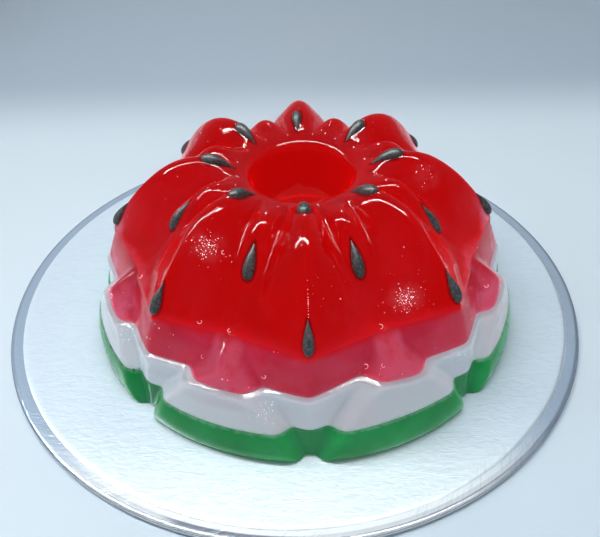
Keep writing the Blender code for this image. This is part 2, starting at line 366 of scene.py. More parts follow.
def wallLayer(desk, given, layer, below):
    # one poured layer of the straight wall as a closed ring: out of it up, in over the top,
    # down the hole and back underneath
    rows, top = given["Rows"], mould["top"]
    grid, crestTurn, side, column, step = lobeGrid(desk, given, 3)
    overTop, downHole, under = (
        desk.math("GREATER_THAN", step, rows + past) for past in (0.5, 1.5, 2.5))
    share = desk.math("MINIMUM", step / rows, 1.0)
    share = share - desk.math("SINE", share * (2 * pi)) * (wall["crowding"] / (2 * pi))
    share = share * (1 - downHole)
    inner = overTop - under

    def levels(azimuth):
        low, high = (boundaryHeight(desk, each, azimuth) for each in (below, layer))
        return low, high, desk.blend(share, low, high)

    height = levels(crestTurn + side * column * half)[2]
    foot = desk.table(height, [(h, angles[0]) for h, angles in archRows], top, 0.5)
    edge = desk.table(height, [(h, angles[1]) for h, angles in archRows], top, 0.5)
    phi = desk.ramp(column, 0.0, wall["footAt"]) * foot
    phi = phi + desk.ramp(column, wall["footAt"], wall["edgeAt"]) * (edge - foot)
    phi = phi + desk.ramp(column, wall["edgeAt"], 1.0) * (half - edge)
    azimuth = crestTurn + side * phi
    low, high, height = levels(azimuth)
    down, up = high - height, height - low

    crest = desk.table(height, mould["crest"], top, 120)
    middle = crest * cos(half) - desk.table(height, mould["scoop"], top, 5)
    ease = desk.smooth(height, *wall["easeHeights"]) * wall["crestEase"]
    eased = desk.math("SQRT", phi * phi + ease * ease)
    face = crest * middle * sin(half) / (
        middle * desk.math("SINE", half - eased) + crest * desk.math("SINE", eased))
    sinPsi = desk.math("SINE", half - phi)
    sinPsi = desk.math("SQRT", sinPsi * sinPsi + wall["archEase"])
    softness = desk.blend(height / top, given["Softness"], given["Top Softness"])
    reach = desk.table(height, (*mould["arch"][:-1], mould["archTop"]), top, 60)
    flank = (reach + mould["draft"] * mould["archRadius"]) / (sinPsi + mould["draft"])
    front = desk.table(height, (*mould["panel"], mould["panelTop"]), top, 120)
    panel = desk.math("SMOOTH_MIN", front, flank, softness)
    radius = desk.math("SMOOTH_MAX", face, panel, softness * wall["faceSoftness"])

    around = desk.vector(desk.math("SINE", azimuth), desk.math("COSINE", azimuth))
    rounded = roll(desk, down, given["Shoulder"], given["Shoulder Height"])
    rounded = rounded * (desk.noise(wall["waverScale"], place=around) + 0.5)
    near = desk.math("MAXIMUM", 1 - down / given["Shoulder Height"], 0.0)
    sloped = near ** wall["ledgePower"] * given["Shoulder"]  # a narrow ledge that faces up and out
    radius = radius - desk.blend(given["Ledge"], rounded, sloped)
    radius = radius - roll(desk, up, given["Tuck"], given["Tuck Height"])
    radius = radius + desk.smooth(down, *wall["bulgeDepths"]) * given["Bulge"]
    radius = desk.blend(inner, radius, holeRadius(height))
    radius = desk.uneven(radius, azimuth, height, given["Unevenness"])
    noted = desk.note(grid, {
        "fromTop": down, "fromBottom": up, "panel": desk.smooth(phi, foot - 0.02, edge),
        "inside": inner, "away": farSide(desk, azimuth)})
    return desk.weld(desk.move(noted, desk.polar(radius, azimuth, height)))


holeRim = (25.9, 79.4), (24.4, 77.2), (23.7, 74.5), (22.2, 50)
dome = {  # stations up the crest, the small ridge and the groove between: (radius, height)
    "crest": ((93.7, 50), (91.8, 54), (89.5, 58), (86.2, 62.8), (82.2, 67.8), (77.3, 73.2),
              (72.2, 77.8), (66.2, 82.3), (59.5, 85.8), (52.5, 87.6), (46, 87.9), (40.5, 86.6),
              (36, 84.6), (32.3, 82.3), (29, 81), *holeRim),
    "ridge": ((84, 50), (78, 53), (72, 56.5), (67.5, 60.5), (64.3, 65), (61.5, 70), (58.5, 73.8),
              (54.5, 77.6), (50.5, 81.3), (46.5, 83.3), (42.3, 83.6), (38.5, 83), (35.2, 82.3),
              (32, 81.8), (29, 80.9), *holeRim),
    "groove": ((85.6, 50), (80.5, 53), (75.5, 56.5), (71, 60.5), (67, 64.5), (63, 68), (59, 70.8),
               (55, 73), (50.5, 75), (46, 76.8), (42, 78.3), (38.5, 79.6), (35.3, 80.8),
               (32, 81.3), (29, 80.9), *holeRim),
    "grooveAt": (15, 15.5, 16, 16.5, 16.5, 16, 15.5, 15, 14.3, 13.5, 12.6, 12, 11.5,
                 11.25, 11.25, 11.25, 11.25, 11.25, 11.25),  # degrees from the crest
    "round": ((0, 0.0), (4, 0.0), (7, 0.75), (9, 1.0), (11, 0.9), (13, 0.5), (15, 0), (18, 0)),
    "channel": ((0, 0.0), (1, 0.02), (4, 0.16), (7, 0.2), (11, 0.2), (13, 0.08), (14, 0), (18, 0)),
    "flankShare": 0.62,  # of the columns between a crest and the next ridge
    "bow": 1.17, "grooveStart": 0.78, "ridgeStart": 0.66,
    "turning": (8.0, 13.0), "hole": (15.2, 16.2),  # stations where each starts and is complete
    "softened": ((0.3, 2.0), (17.0, 16.0)), "softening": (0.7, 0.12),  # edges, the rest
}
domeSizes = {"Columns": 48, "Rows": 100, "Softening": 5, "Unevenness": 0.1}


def domeLayer(desk, given):
    # the clear top layer: each half lobe runs from its crest down a flank to the groove and
    # up again to the small ridge
    rows, last = given["Rows"], len(dome["crest"]) - 1
    grid, crestTurn, side, column, step = lobeGrid(desk, given, 1)
    station = step / rows * last * desk.math("LESS_THAN", step, rows + 0.5)

    def follow(values, reach):
        return desk.table(station, list(enumerate(values)), last, reach)

    crest, ridge, groove = (
        [follow([spot[i] for spot in dome[line]], 100) for i in (0, 1)]
        for line in ("crest", "ridge", "groove"))
    grooveAt = follow([radians(a) for a in dome["grooveAt"]], 0.5)
    rounding = desk.table(station, dome["round"], last, 1)
    channel = desk.table(station, dome["channel"], last, 1)
    turning = desk.smooth(station, *dome["turning"])

    def halfWay(share, depth, near, width):
        # one side of the groove: straight across by share and in by depth, then turned round
        # the axis instead of straight towards the hole
        across = groove[0] * desk.math("SINE", width) * share
        inwards = desk.blend(depth, near[0], groove[0] * desk.math("COSINE", width))
        radius = desk.math("SQRT", across * across + inwards * inwards)
        angle = desk.math("ARCTAN2", across, inwards)
        radius = desk.blend(turning, radius, desk.blend(depth, near[0], groove[0]))
        angle = desk.blend(turning, angle, width * share)
        return radius, angle, desk.blend(depth, near[1], groove[1])

    t = desk.ramp(column, 0.0, dome["flankShare"])
    flank = desk.blend(rounding, t, t * t * (t * (1 - t) * dome["bow"] + 1))
    flank = desk.blend(channel, flank, desk.smooth(t, dome["grooveStart"], 1.0))
    radiusA, angleA, heightA = halfWay(t, flank, crest, grooveAt)
    s = desk.ramp(column, 1.0, dome["flankShare"])
    swell = desk.blend(desk.math("MINIMUM", rounding * 1.2, 1.0), s, s * s)
    swell = desk.blend(channel, swell, desk.smooth(s, dome["ridgeStart"], 1.0))
    radiusB, angleB, heightB = halfWay(s, swell, ridge, half - grooveAt)
    onRidge = desk.math("GREATER_THAN", column, dome["flankShare"] + 0.0001)
    height = desk.blend(onRidge, heightA, heightB)
    inHole = desk.smooth(station, *dome["hole"])
    radius = desk.blend(inHole, desk.blend(onRidge, radiusA, radiusB), crest[0])
    phi = desk.blend(inHole, desk.blend(onRidge, angleA, half - angleB), column * half)
    azimuth = crestTurn + side * phi
    radius = desk.uneven(radius, azimuth, height, given["Unevenness"])
    place = desk.polar(radius, azimuth, height)
    pressed = desk.put("GeometryNodeObjectInfo", {}, {0: given["Seeds"]}, out=4)
    fromSeed = desk.put("GeometryNodeProximity", {}, {0: pressed, "Sample Position": place}, out=1)
    noted = desk.note(grid, {
        "station": station, "fromBottom": height - mould["top"], "fromCrest": t,
        "groove": t * s, "fromSeed": fromSeed / mm, "away": farSide(desk, azimuth)})
    joined = desk.weld(desk.move(noted, place))

    up = desk.read("station")
    sharp = desk.smooth(desk.read("groove"), 0.7, 0.95)
    sharp = sharp + desk.smooth(desk.read("fromCrest"), 0.12, 0.03) * desk.smooth(up, 6.0, 3.0)
    edges, rest = dome["softening"]
    weight = desk.band(up, *dome["softened"]) * (sharp * edges + rest)
    eased = desk.put("GeometryNodeBlurAttribute", {"data_type": "FLOAT_VECTOR"}, {
        0: desk.here(), "Iterations": given["Softening"], "Weight": weight})
    return desk.move(joined, eased)


def newFinish(name, **fixed):
    # a Principled material with its constant values set, and the desk to add to it
    finish = bpy.data.materials.new(name)
    finish.use_nodes = True
    shader = finish.node_tree.nodes["Principled BSDF"]
    for label, value in fixed.items():
        shader.inputs[label.replace("_", " ")].default_value = value
    return finish, Desk(finish.node_tree), shader


def feed(desk, shader, **links):
    for label, knot in links.items():
        desk.tree.links.new(knot.socket, shader.inputs[label.replace("_", " ")])


def pattern(desk, numbers, place=None):
    # numbers: noise scale, detail and roughness, and the values where it starts and is full
    *shape, start, full = numbers
    return desk.smooth(desk.noise(*shape, place), start, full)


def ragged(desk, distance, scale, start, full):
    # share of a tint along an edge, torn by fine noise; start and full are in mm
    return desk.smooth(distance + desk.noise(scale, 4.0, 0.7) * 4.0, start, full)


def coats(desk, look, colour, *tints):
    # lays tints over a colour; each is a share and the name of a look's (r, g, b, most)
    for share, name in tints:
        *tint, most = look[name]
        under = colour if isinstance(colour, Knot) else (*colour, 1)
        colour = desk.put("ShaderNodeMix", {"data_type": "RGBA"},
                          {0: share * most, 6: under, 7: (*tint, 1)}, out=2)
    return colour


def bumps(desk, height, distance, strength=1.0):
    return desk.put("ShaderNodeBump", {},
                    {"Strength": strength, "Distance": distance * mm, "Height": height})


gelatine = {  # skin: slow ripples, patches of small waves and scattered bubbles
    "ripple": (150.0, 0.035), "wave": (430.0, 0.50), "bubble": (430.0, 0.11),  # scale, height
    "patches": (38.0, 1.0, 0.5, 0.42, 0.62), "picked": (0.3, 1.0), "bubbleEdge": 0.34,
    "wavy": ((-0.0350, -0.0581, 0.0804, 1.0), (0.0477, -0.0719, 0.0604, 1.0),  # metres, share
             (0.0630, -0.0138, 0.0839, 0.5), (-0.0125, -0.1047, 0.0290, 1.0),
             (-0.0770, -0.0608, 0.0315, 0.8), (0.0700, -0.0770, 0.0330, 0.8)),
    "roughness": 0.03, "ior": 1.33,
}

looks = {
    # body and glow: how much of the seen colour is lit and how much is a painted glow, an emission
    # that stands in for light shining through the jelly; depth in m; tints are (r, g, b, greatest
    # share), patterns as in pattern() and edges as in ragged()
    "jelly_red": {
        "body": 0.37, "glow": 0.67, "depth": 0.016, "reach": (1.0, 0.10, 0.10),
        "base": (0.50, 0.0018, 0.0022), "cloud": (0.49, 0.0065, 0.0105, 1.0),
        "ring": (0.36, 0.0140, 0.0190, 0.25), "deep": (0.53, 0.0020, 0.0022, 1.0),
        "haze": (0.52, 0.055, 0.070, 0.8), "thin": (0.52, 0.095, 0.150, 1.0),
        "foot": (0.36, 0.0090, 0.0160, 0.7), "shade": (0.10, 0.0010, 0.0015, 0.75),
        "clouds": (32.0, 3.0, 0.5, 0.42, 0.75), "mottling": (120.0, 4.0, 0.65, 0.35, 0.65),
        "streaks": (150.0, 3.0, 0.6, 0.5, 0.75), "streakStretch": (1.0, 1.0, 0.2),
        "border": (55.0, 8.0, 7.0),  # noise scale, how far it wanders, how much less on crests
    },
    "jelly_pink": {
        "body": 0.65, "glow": 0.50, "depth": 0.010, "reach": (1.0, 0.35, 0.40),
        "base": (0.46, 0.026, 0.064), "deep": (0.39, 0.014, 0.036, 1.0),
        "pale": (0.57, 0.082, 0.148, 0.75), "speckle": (0.50, 0.0060, 0.0120, 0.45),
        "light": (0.57, 0.115, 0.200, 1.0), "edge": (0.58, 0.20, 0.28, 0.6),
        "red": (0.50, 0.0060, 0.0120, 1.0), "dusk": (0.39, 0.0070, 0.0170, 0.85),
        "hole": (0.60, 0.0004, 0.0006, 1.0),
        "clouds": (45.0, 3.0, 0.5, 0.35, 0.7), "mottling": (130.0, 4.0, 0.7, 0.45, 0.7),
        "blotches": (85.0, 3.0, 0.6, 0.42, 0.68), "lowEdge": (300.0, 3.8, 1.2),
    },
    "jelly_white": {
        "body": 0.82, "glow": 0.365, "depth": 0.010, "reach": (1.0, 0.9, 0.85),
        "base": (0.455, 0.495, 0.540), "warm": (0.48, 0.465, 0.51, 1.0),
        "blue": (0.460, 0.525, 0.590, 0.6), "pink": (0.56, 0.36, 0.43, 0.45),
        "green": (0.20, 0.38, 0.30, 0.7), "speck": (0.03, 0.09, 0.06, 1.0),
        "clouds": (30.0, 2.0, 0.5, 0.35, 0.7),
        "highEdge": (300.0, 3.4, 1.2), "lowEdge": (380.0, 3.6, 1.2),
    },
    "jelly_green": {
        "body": 0.82, "glow": 0.28, "depth": 0.005, "reach": (0.3, 1.0, 0.4),
        "base": (0.007, 0.205, 0.048), "bright": (0.018, 0.31, 0.085, 1.0),
        "dark": (0.004, 0.13, 0.040, 0.55), "foot": (0.004, 0.13, 0.040, 0.7),
        "milk": (0.38, 0.48, 0.47, 1.0), "speck": (0.004, 0.030, 0.020, 1.0),
        "clouds": (28.0, 3.0, 0.5, 0.4, 0.72), "highEdge": (380.0, 3.8, 1.4),
    },
}


def wavySpots(desk, outer, inner=0.0):
    # how near a point lies to each wavy spot, with that spot's share
    for *spot, share in gelatine["wavy"]:
        yield desk.smooth(desk.awayFrom(spot), outer, inner), share


def wetBump(desk):
    ripples = desk.noise(gelatine["ripple"][0])
    waves = desk.noise(gelatine["wave"][0], 1.0)
    patches = pattern(desk, gelatine["patches"]) + 0.2
    wavy = patches * 0.12
    for near, share in wavySpots(desk, 0.012, 0.003):
        wavy = desk.math("MAXIMUM", wavy, near * share)
    distance, shade = desk.put("ShaderNodeTexVoronoi", {}, {
        "Vector": desk.here(), "Scale": gelatine["bubble"][0]}, out=(0, 1))
    picked = desk.smooth(desk.put("ShaderNodeSeparateColor", {}, {0: shade}), *gelatine["picked"])
    bubbles = desk.smooth(distance, gelatine["bubbleEdge"], 0.0) * picked * patches
    relief = ripples * gelatine["ripple"][1] + waves * wavy * gelatine["wave"][1]
    return bumps(desk, relief + bubbles * gelatine["bubble"][1], 1.0)


def gelatineFinish(name, layer, paint):
    # wet, see-through-looking gelatine with a painted glow; paint gives the colour it is seen in
    look = looks[layer]
    finish, desk, shader = newFinish(
        name, Roughness=gelatine["roughness"], IOR=gelatine["ior"], Subsurface_Weight=1.0,
        Subsurface_Scale=look["depth"], Subsurface_Radius=look["reach"], Emission_Strength=1.0)
    colour = paint(desk, look)
    # painted glow: the emission makes the gelatine shine by itself, standing in for light scattered
    # through it
    feed(desk, shader, Base_Color=desk.dim(colour, look["body"]),
         Emission_Color=desk.dim(colour, look["glow"]), Normal=wetBump(desk))
    return finish


def paintRed(desk, look):
    up, station, away, fromCrest, fromSeed = map(
        desk.read, ("fromBottom", "station", "away", "fromCrest", "fromSeed"))
    crest = desk.smooth(fromCrest, 0.6, 0.05)
    mottled = pattern(desk, look["mottling"])
    streaks = pattern(desk, look["streaks"], desk.stretch(desk.here(), look["streakStretch"]))
    scale, wander, higher = look["border"]
    # veil: the pink of the layer below seen through the thin red near its foot, and a painted pale
    # sheen up the far crests
    border = up + desk.noise(scale, 3.0, 0.6) * wander - crest * higher
    veil = desk.smooth(border, 6.8, 1.5) * 0.9 + desk.smooth(up, 24.0, 6.0) * (crest * 0.35 + 0.07)
    outside = desk.smooth(station, 8.0, 6.0)
    veil = veil * outside * away * (mottled * 0.45 + streaks * 0.35 + 0.45)
    foot = desk.smooth(up + mottled * 1.5, 4.0, 0.8) * (1 - away) * outside
    # painted glare: the red is paled round the wavy spots, where the lamps' sparkle gathers
    haze = [(near * mottled * share, "haze") for near, share in wavySpots(desk, 0.010)]
    # the ring round the hole is painted a darker red, a painted shade
    return coats(
        desk, look, look["base"],
        (pattern(desk, look["clouds"]) * 0.6 + streaks * 0.5, "cloud"),
        (desk.smooth(station, 9.0, 12.0), "ring"), (desk.smooth(station, 14.0, 16.0), "deep"),
        *haze, (veil, "thin"), (foot, "foot"), (desk.smooth(fromSeed, 1.5, 0.1), "shade"))


def paintPink(desk, look):
    up, down, away, panel, inside = map(
        desk.read, ("fromBottom", "fromTop", "away", "panel", "inside"))
    blotches = pattern(desk, look["blotches"])
    return coats(
        desk, look, look["base"],
        (pattern(desk, look["clouds"]), "deep"), (panel, "pale"),
        (pattern(desk, look["mottling"]), "speckle"),
        (blotches * desk.smooth(down, 4.0, 12.0) * (away * 0.55 + 0.1), "light"),
        (ragged(desk, up, *look["lowEdge"]), "edge"),
        (desk.smooth(down, 4.0, -0.6) * (1 - away), "red"),
        (desk.smooth(down + blotches * 3, 14.0, 1.0) * away, "dusk"), (inside, "hole"))


def specks(desk, distance):
    # fine dark specks along the line where green meets white, most of them on the left
    share = desk.smooth(desk.split(desk.here())[0], -0.050, -0.080) * 0.8 + 0.25
    return pattern(desk, (850.0, 2.0, 0.5, 0.60, 0.68)) * desk.smooth(distance, 2.2, 0.4) * share


def paintWhite(desk, look):
    up, down, panel = map(desk.read, ("fromBottom", "fromTop", "panel"))
    return coats(
        desk, look, look["base"], (pattern(desk, look["clouds"]), "warm"), (1 - panel, "blue"),
        (ragged(desk, down, *look["highEdge"]), "pink"),
        (ragged(desk, up, *look["lowEdge"]), "green"), (specks(desk, up), "speck"))


def paintGreen(desk, look):
    up, down, panel = map(desk.read, ("fromBottom", "fromTop", "panel"))
    return coats(
        desk, look, look["base"], (pattern(desk, look["clouds"]), "bright"), (1 - panel, "dark"),
        (desk.smooth(up, 1.6, 0.0), "foot"),
        (ragged(desk, down, *look["highEdge"]) * (panel * 0.28 + 0.17), "milk"),
        (specks(desk, down), "speck"))


finishes = {layer: gelatineFinish(name, layer, paint) for layer, name, paint in (
    ("jelly_green", "cloudy_green_gelatine", paintGreen),
    ("jelly_white", "milk_gelatine", paintWhite),
    ("jelly_pink", "milky_pink_gelatine", paintPink),
    ("jelly_red", "clear_red_gelatine", paintRed))}

below = None
skins = {}
for layer, edges in layers.items():
    skins[layer] = grow(layer + "_layer", lambda *desk: wallLayer(*desk, layer, below),
                        {**wallSizes, **edges}, finishes[layer])
    hand(skins[layer], layer, layer)
    below = layer
print("wall done")


seeds = {
    "sink": 0.3, "points": 17, "slopeReach": 2.0, "outsideRows": 16,
    "rings": (  # name, profile, first azimuth, radius of the tip, length, half width
        ("seed_inner", "crest", 0.0, 30.4, 16.6, 3.1),
        ("seed_middle", "ridge", 22.5, 54.5, 17.6, 2.75),
        ("seed_outer", "crest", 0.0, 84.9, 15.6, 2.4),
    ),
    "smaller": {"seed_inner_5": 0.78, "seed_inner_4": 0.9, "seed_inner_6": 0.9},
    "shifts": {  # how far out and by how many degrees single seeds lie off their place
        "seed_inner_1": (0.6, 0.0), "seed_inner_2": (-0.6, 0.0), "seed_inner_3": (1.6, 0.0),
        "seed_inner_5": (0.0, 2.2), "seed_inner_7": (1.0, 0.0), "seed_inner_8": (-0.6, 0.0),
        "seed_middle_1": (0.0, -1.8), "seed_middle_2": (3.2, 0.0), "seed_middle_7": (0.0, -1.8),
        "seed_outer_2": (-1.0, 0.0),
    },
    "taper": (1.25, 2.84),  # power that thins the tip, and what brings the widest place to 1
    "speckle": (900.0, 2.0, 0.5, 0.35, 0.75), "pitScale": 600.0,
    "dark": (0.020, 0.024, 0.025), "grey": (0.095, 0.105, 0.108, 1.0),
}
seedSizes = {"Fullness": 1.0, "Sides": 20}


def alongProfile(profile, start, distance):
    # a place on a profile, at a distance outwards from where its radius is start
    points = list(reversed(profile))
    walked = None
    for near, far in zip(points, points[1:]):
        span = hypot(far[0] - near[0], far[1] - near[1])
        if walked is None:
            if far[0] < start:
                continue
            walked = -span * (start - near[0]) / (far[0] - near[0])
        if walked + span >= distance or far == points[-1]:
            share = (distance - walked) / span
            return near[0] + (far[0] - near[0]) * share, near[1] + (far[1] - near[1]) * share
        walked += span


def seedPoint(line, tip, distance):
    # radius and height of a seed's middle line, sunk a little into the skin
    before = alongProfile(line, tip, distance - seeds["slopeReach"])
    behind = alongProfile(line, tip, distance + seeds["slopeReach"])
    size = hypot(behind[0] - before[0], behind[1] - before[1])
    return ((before[0] + behind[0]) / 2 - seeds["sink"] * (before[1] - behind[1]) / size,
            (before[1] + behind[1]) / 2 - seeds["sink"] * (behind[0] - before[0]) / size)


def seedLines():
    # one line of points for each seed, from its tip to its round end, with its half width
    places, links, widths = [], [], []
    for ring, profile, first, tip, length, width in seeds["rings"]:
        line = dome[profile][:seeds["outsideRows"]]
        for i in range(mould["lobes"]):
            outwards, degrees = seeds["shifts"].get(f"{ring}_{i + 1}", (0.0, 0.0))
            share = seeds["smaller"].get(f"{ring}_{i + 1}", 1.0)
            azimuth = radians(first + degrees) + i * 2 * half + turnStart
            for k in range(seeds["points"]):
                turned = cos(pi * k / (seeds["points"] - 1))
                distance = length * (share - turned * share + 1 - share) / 2
                radius, height = seedPoint(line, tip + outwards, distance)
                if k:
                    links.append((len(places) - 1, len(places)))
                places.append(((mould["x"] + radius * sin(azimuth)) * mm,
                               (mould["y"] - radius * cos(azimuth)) * mm,
                               (height + mould["base"]) * mm))
                widths.append(width * share)
    mesh = plainMesh("seed_lines", places, links)
    mesh.attributes.new("halfWidth", "FLOAT", "POINT").data.foreach_set("value", widths)
    return mesh


def seedShapes(desk, given):
    # a teardrop swept along each line: thin at the tip, roundest two thirds of the way
    lines = desk.put("GeometryNodeMeshToCurve", {}, {0: given["Geometry"]})
    share = desk.put("GeometryNodeSplineParameter")
    power, widest = seeds["taper"]
    taper = share ** power * desk.math("SQRT", desk.math("MAXIMUM", 1 - share, 0.0)) * widest
    taper = taper * desk.read("halfWidth") * given["Fullness"] * mm
    circle = desk.put("GeometryNodeCurvePrimitiveCircle", {}, {0: given["Sides"], "Radius": 1.0})
    swept = desk.put("GeometryNodeCurveToMesh", {}, {0: lines, 1: circle, "Scale": taper})
    return desk.weld(swept)


def seedFinish():
    finish, desk, shader = newFinish(
        "satin_seed", Roughness=0.50, IOR=1.40, Coat_Weight=0.35, Coat_Roughness=0.33)
    colour = coats(desk, seeds, seeds["dark"], (pattern(desk, seeds["speckle"]), "grey"))
    pits = bumps(desk, desk.noise(seeds["pitScale"], 3.0), 0.1, 0.6)
    feed(desk, shader, Base_Color=colour, Normal=pits)
    return finish


seedPiece = grow("seeds", seedShapes, seedSizes, seedFinish(), seedLines())
hand(seedPiece, "seed", *[
    f"{ring[0]}_{i + 1}" for ring in seeds["rings"] for i in range(mould["lobes"])])
print("seeds done")

skins["jelly_red"] = grow("jelly_red_layer", domeLayer, {**domeSizes, "Seeds": seedPiece},
                          finishes["jelly_red"])
hand(skins["jelly_red"], "jelly_red", "jelly_red")
print("dome done")


beadSizes = {"Density": 40000.0, "Radius": 0.4, "Seed": 7,  # density for each square metre
             "Patches": 0.6, "Spots": 3.0, "Reach": 0.020}
glintSizes = {"Patches": 0.0, "Reach": 0.0085, "Spots": 1.0}
beads = {  # piece: layer it lies on, finish with its dull and bright colour and glow, sizes
    "beads_on_red": ("jelly_red", ("wet_red_beads", (0.32, 0.03, 0.04), (0.65, 0.28, 0.30)), {}),
    "beads_on_pink": ("jelly_pink", ("wet_pink_beads", (0.55, 0.12, 0.18), (0.85, 0.58, 0.63)),
                      {"Density": 52000.0, "Radius": 0.45, "Seed": 3}),
    "beads_on_white": ("jelly_white", ("wet_white_beads", (0.50, 0.55, 0.60), (0.80, 0.84, 0.88)),
                       {"Density": 18000.0, "Radius": 0.35, "Seed": 5}),
    # glints: dense clusters of tiny glowing white beads, a painted sparkle of the lamps on the wet
    # skin
    "glints_on_red": ("jelly_red", ("white_glints", (0.75, 0.45, 0.48), (0.98, 0.94, 0.94), 1.5),
                      {**glintSizes, "Density": 1500000.0, "Radius": 0.33, "Seed": 11,
                       "Spots": 1.6}),
    "glints_on_white": ("jelly_white", ("milky_glints", (0.75, 0.82, 0.86), (0.97, 0.99, 1.0), 1.3),
                        {**glintSizes, "Density": 700000.0, "Radius": 0.24, "Seed": 4}),
}


def beadScatter(desk, given, layer):
    # beads of moisture and small bubbles in the skin, in patches and round the wavy spots
    where = pattern(desk, (42.0, 1.0, 0.5, 0.5, 0.72)) * given["Patches"]
    for near, share in wavySpots(desk, given["Reach"]):
        where = where + near ** 2 * given["Spots"] * share ** 3
    points, normal = desk.put("GeometryNodeDistributePointsOnFaces", {}, {
        0: given["Geometry"], "Density": where * openSkin(desk, layer) * given["Density"],
        "Seed": given["Seed"]}, out=(0, 1))
    size = (desk.chance(given["Seed"]) ** 3 * 0.7 + 0.3) * given["Radius"] * mm
    bead = desk.put("GeometryNodeMeshUVSphere", {}, {"Segments": 8, "Rings": 5, "Radius": 1.0})
    bead = desk.put("GeometryNodeTransform", {}, {0: bead, "Scale": (1.0, 1.0, 0.6)})
    return desk.put("GeometryNodeInstanceOnPoints", {}, {
        0: points, 2: bead, "Rotation": desk.upright(normal), "Scale": size})


def openSkin(desk, layer):
    # 1 on the outside that shows, 0 in the hole and along the edges
    if layer == "jelly_red":
        return desk.band(desk.read("station"), (0.4, 0.8), (14.0, 12.0))
    down, up = (desk.smooth(desk.read(label), 0.2, 0.8) for label in ("fromTop", "fromBottom"))
    return down * up * (1 - desk.read("inside"))


def beadFinish(name, dull, bright, strength=1.0):
    # painted glints: the bright colour and the glow stand in for lamp light caught in the beads
    finish, desk, shader = newFinish(
        name, Roughness=gelatine["roughness"], IOR=gelatine["ior"], Emission_Strength=strength)
    clouds = pattern(desk, (260.0, 2.0, 0.5, 0.4, 0.7))
    colour = coats(desk, {"bright": (*bright, 1.0)}, dull, (clouds, "bright"))
    feed(desk, shader, Base_Color=colour, Emission_Color=desk.dim(colour, 0.7))
    return finish


for name, (layer, look, sizes) in beads.items():
    hand(grow(name, lambda *desk: beadScatter(*desk, layer), {**beadSizes, **sizes},
              beadFinish(*look), skins[layer].data.copy()), layer)
print("beads done")


rimSizes = {"Radius": 1.05, "Thickness": 0.17, "Sweep": 3.9, "Seed": 2}  # sweep in radians
crestHighlightSizes = {"Radius": 0.06, "Thickness": 0.12, "Sweep": 6.0, "Seed": 5}
curls = {  # rims of small bubbles caught in the skin, and a row of drops that is a painted highlight along the front crest: layer, sizes, places in metres
    "curls_on_red": ("jelly_red", rimSizes, (
        (-0.0264, -0.0824, 0.0543), (-0.0392, -0.0776, 0.0552), (0.0364, -0.0823, 0.0545),
        (-0.0285, -0.0588, 0.0770), (-0.0692, -0.0459, 0.0539))),
    "curls_on_pink": ("jelly_pink", rimSizes, (
        (-0.0385, -0.0862, 0.0430), (-0.0125, -0.0968, 0.0415), (0.0297, -0.0939, 0.0430),
        (0.0369, -0.0947, 0.0443), (0.0897, -0.0467, 0.0442), (-0.0880, -0.0480, 0.0440))),
    "drops_on_crest": ("jelly_red", crestHighlightSizes, tuple(  # a painted highlight: a short row of glowing drops above the front seed
        (0.0064, -0.0838 - 0.0062 * share, 0.0758 - 0.0074 * share)
        for share in (-0.5, -0.12, 0.06, 0.20, 0.29, 0.34, 0.38, 0.42,
                      0.455, 0.49, 0.53, 0.58, 0.65, 0.76, 0.90, 1.02))),
}


def curlShapes(desk, given):
    # a thin arc laid on the skin at each given place, turned at random
    skin = desk.put("GeometryNodeObjectInfo", {}, {0: given["Skin"]}, out=4)
    laid = desk.move(given["Geometry"], desk.put("GeometryNodeProximity", {}, {0: skin}))
    outwards = desk.put("GeometryNodeSampleNearestSurface", {"data_type": "FLOAT_VECTOR"}, {
        "Mesh": skin, "Value": desk.put("GeometryNodeInputNormal")})
    chance = desk.chance(given["Seed"])
    arc = desk.put("GeometryNodeCurveArc", {}, {
        "Resolution": 14, "Radius": given["Radius"] * mm, "Sweep Angle": given["Sweep"]})
    profile = desk.put("GeometryNodeCurvePrimitiveCircle", {}, {
        0: 6, "Radius": given["Thickness"] * mm})
    rim = desk.put("GeometryNodeCurveToMesh", {}, {0: arc, 1: profile, "Fill Caps": True})
    spun = desk.put("FunctionNodeRotateRotation", {"rotation_space": "LOCAL"}, {
        0: desk.upright(outwards), 1: desk.vector(z=chance * (2 * pi))})
    return desk.put("GeometryNodeInstanceOnPoints", {}, {
        0: laid, 2: rim, "Rotation": spun, "Scale": chance * 0.5 + 0.6})


for name, (layer, sizes, places) in curls.items():
    # painted glints: the rims and drops are pale and glow
    look = beadFinish("painted_glint_" + name, (0.62, 0.22, 0.26), (0.90, 0.70, 0.73))
    hand(grow(name, curlShapes, {**sizes, "Skin": skins[layer]}, look,
              plainMesh(name + "_places", places)), layer)
print("curls done")


board = {
    "rim": ((0.0, 2.7), (142.3, 2.7), *((142.6 + i * 0.9, 3.0) for i in range(7)), (149.0, 2.9),
            (149.6, 2.5), (149.9, 1.9), (150.0, 1.4), (149.7, 1.2), (149.8, 0.9), (149.6, 0.3),
            (149.0, 0.0), (0.0, 0.0)),
    "sheet": (*((r, 3.4) for r in (0, 60, *range(86, 142))), (142.2, 3.38), (142.9, 3.28),
              (143.4, 3.12), (143.7, 2.97), (143.5, 2.93), (142.3, 3.03), (0, 3.05)),
    "sheetTop": 3.4,
    "steps": 720,
    "folds": (60.0, 120.0, 8.0), "fineFolds": (110.0, 230.0, 7.0),  # around, outwards, slant
    "crinkled": (142.0, 143.5), "crinkleHeights": (1.6 * mm, 2.8 * mm), "tallest": 0.12,
    "embossStretch": (0.4, 1.3, 1.0),
    "front": (-0.088, -0.135),  # where the painted reflection on the front starts and is full, metres along y
    "patches": (22.0, 1.0, 0.5, 0.45, 0.6), "creased": (135.0, 142.0),
}
